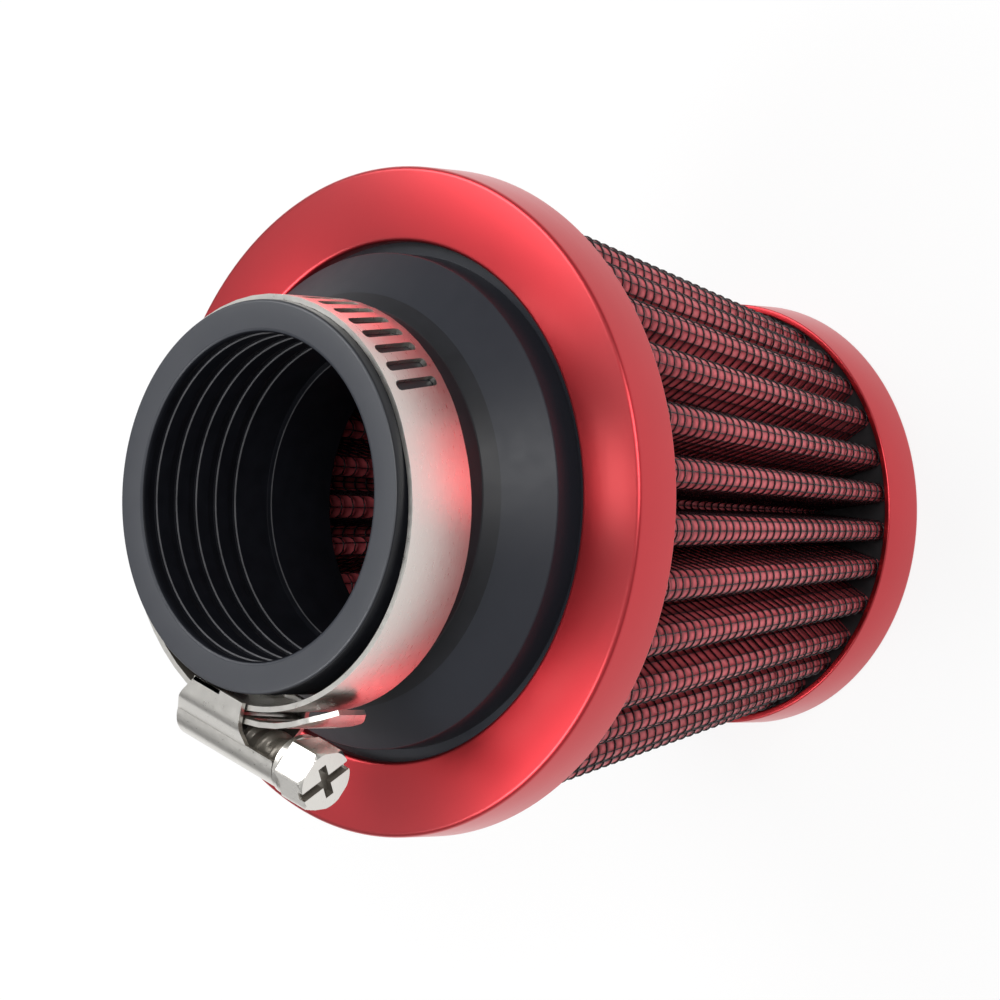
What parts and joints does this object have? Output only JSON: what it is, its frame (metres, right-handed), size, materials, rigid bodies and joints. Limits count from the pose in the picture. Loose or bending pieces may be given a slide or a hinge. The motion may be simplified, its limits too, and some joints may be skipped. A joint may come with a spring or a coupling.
{
  "type": "cone air filter",
  "caption": "Clamp-on cone air filter: pleated oiled-cotton wall behind wire screens, red anodised ring and cap, black rubber neck with a worm-drive hose clamp.",
  "frame": {"origin": "centre of the rear cap's back face", "axes": "+Z along the filter's axis from the rear cap to the neck's mouth; the camera side of the picture is -Y"},
  "size_m": [0.0746, 0.0746, 0.0836],
  "materials": {
    "rubber": "matte moulded black rubber",
    "anodised": "red anodised, finely turned",
    "potting": "cast black sealing compound",
    "wire": "black coated wire",
    "cotton": "oiled red cotton gauze",
    "steel": "bright stainless strip"
  },
  "bodies": {
    "filter": {"rubber_boot": "rubber", "front_ring": "anodised", "rear_cap": "anodised", "rear_potting": "potting", "outer_screen": "wire", "cotton_media": "cotton", "inner_screen": "wire", "clamp_band": "steel", "clamp_housing": "steel"},
    "screw": {"clamp_screw": "steel"}
  },
  "joints": [
    {"name": "clamp_screw_turn", "type": "hinge", "parent": "filter", "child": "screw", "pos_m": [-0.02524, 0.00869, 0.0777], "axis": [0.3256, 0.9455, 0], "range_deg": [-2880, 760]}
  ]
}
